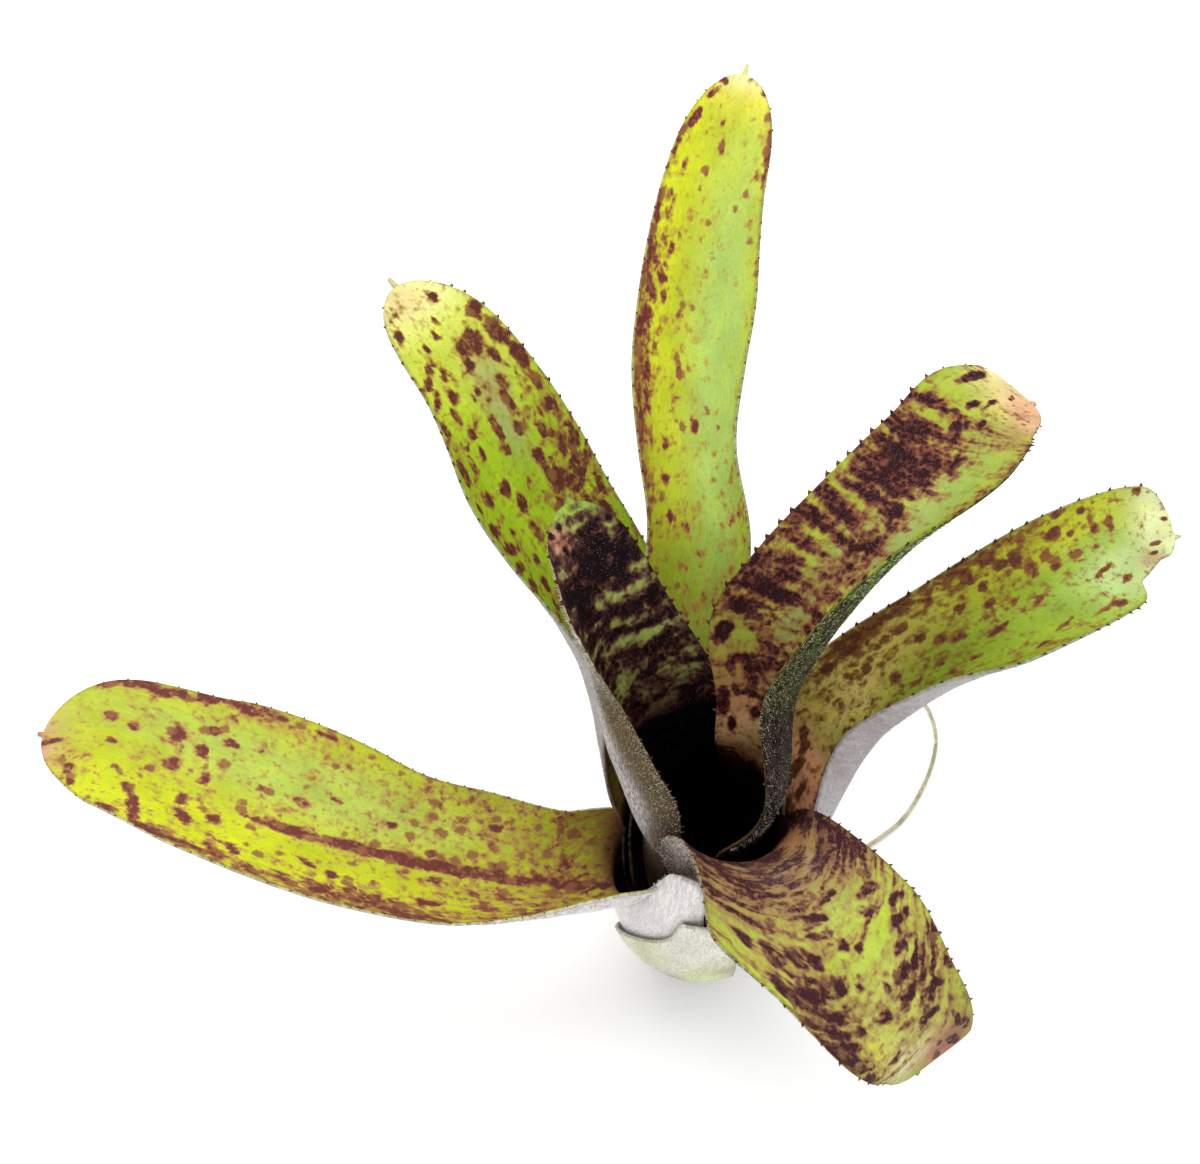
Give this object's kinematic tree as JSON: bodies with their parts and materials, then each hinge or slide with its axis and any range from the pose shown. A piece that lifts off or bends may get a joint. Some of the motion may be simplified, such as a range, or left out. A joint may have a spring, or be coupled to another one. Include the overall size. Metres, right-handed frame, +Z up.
{
  "type": "neoregelia_bromeliad",
  "caption": "Small tubular bromeliad: broad toothed leaves flare from nested sheaths that form an upright water-holding tank on a short cut stem with roots, standing on its foot.",
  "frame": {"origin": "centre of the cut stem's flat foot, on the surface the plant stands on", "axes": "+Z up along the tank, +X to the right and +Y away as seen from the front, where the longest leaf points to -X"},
  "size_m": [0.2246, 0.183, 0.1409],
  "materials": {
    "leaf": "satin",
    "leaf_dark": "satin",
    "dry_sheath": "matte",
    "stem": "matte",
    "root": "matte"
  },
  "bodies": {
    "root": {"leaf_1": "leaf", "leaf_2": "leaf", "leaf_3": "leaf_dark", "leaf_4": "leaf", "leaf_5": "leaf", "leaf_6": "leaf", "leaf_7": "leaf", "old_sheath": "dry_sheath", "stem": "stem", "long_root": "root"}
  },
  "joints": []
}
